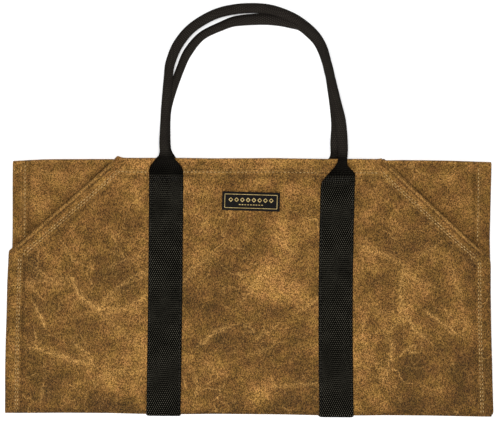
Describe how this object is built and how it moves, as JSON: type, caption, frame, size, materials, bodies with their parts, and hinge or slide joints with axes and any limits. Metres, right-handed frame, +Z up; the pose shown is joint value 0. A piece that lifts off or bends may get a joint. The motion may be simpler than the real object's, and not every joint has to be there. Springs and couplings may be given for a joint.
{
  "type": "canvas log carrier",
  "caption": "Waxed canvas firewood tote with cut corners and two rolled webbing handles, laid flat and folded in four layers.",
  "frame": {"origin": "middle of the footprint, on the surface that the carrier lies on", "axes": "+X across the panel, +Y from the bottom folds towards the handles, +Z up from the surface"},
  "size_m": [0.541, 0.4574, 0.0231],
  "materials": {
    "waxed_canvas": "matt waxed tan canvas with pale creases",
    "black_webbing": "matt ribbed cotton webbing",
    "woven_label": "fine woven patch with a cream border"
  },
  "bodies": {
    "root": {"canvas_panel": "waxed_canvas", "webbing_front": "black_webbing", "webbing_back": "black_webbing", "label": "woven_label"}
  },
  "joints": []
}
